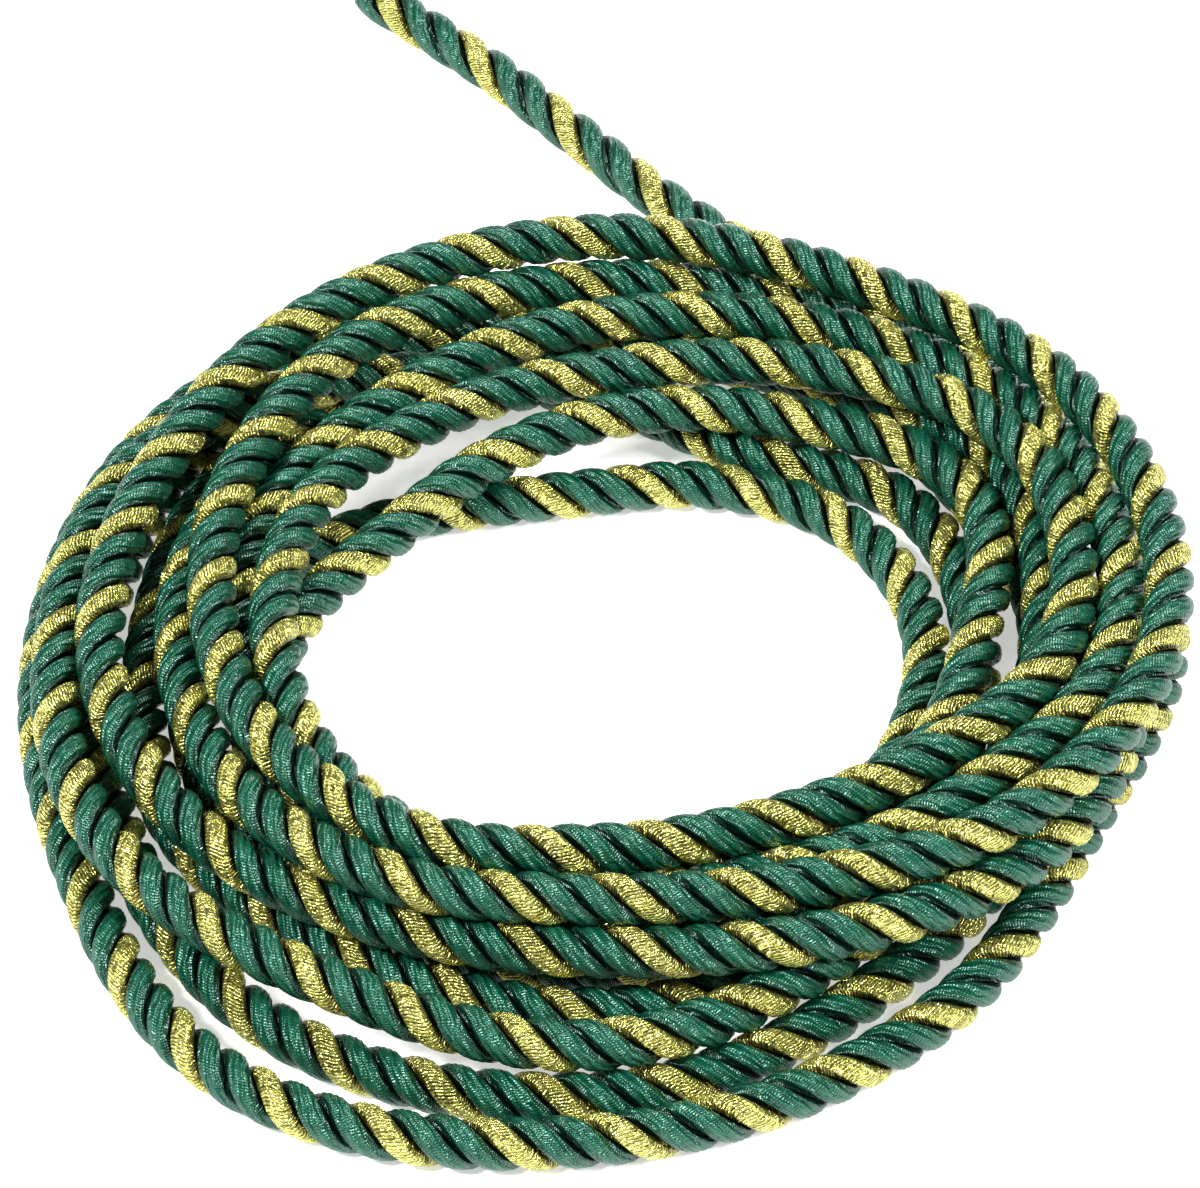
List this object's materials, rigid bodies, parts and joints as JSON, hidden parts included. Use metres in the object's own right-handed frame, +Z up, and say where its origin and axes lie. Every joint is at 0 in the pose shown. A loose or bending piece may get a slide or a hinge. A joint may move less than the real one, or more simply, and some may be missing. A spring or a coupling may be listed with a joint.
{
  "type": "twisted cord",
  "caption": "Green and gold twisted trimming cord laid in a loose oval coil, with one plain cut end running out behind it",
  "frame": {"origin": "centre of the whole cord's outline seen from above, at the height of the table that it lies on", "axes": "+Z up from the table, +Y towards the loose end behind the coil, +X to the right seen from the front"},
  "size_m": [0.1164, 0.1694, 0.0156],
  "materials": {
    "green_strand": "satin bottle-green twisted threads",
    "gold_strand": "sparkling gold metallic threads"
  },
  "bodies": {
    "root": {"coil": "green_strand", "loose_end": "green_strand"}
  },
  "joints": []
}
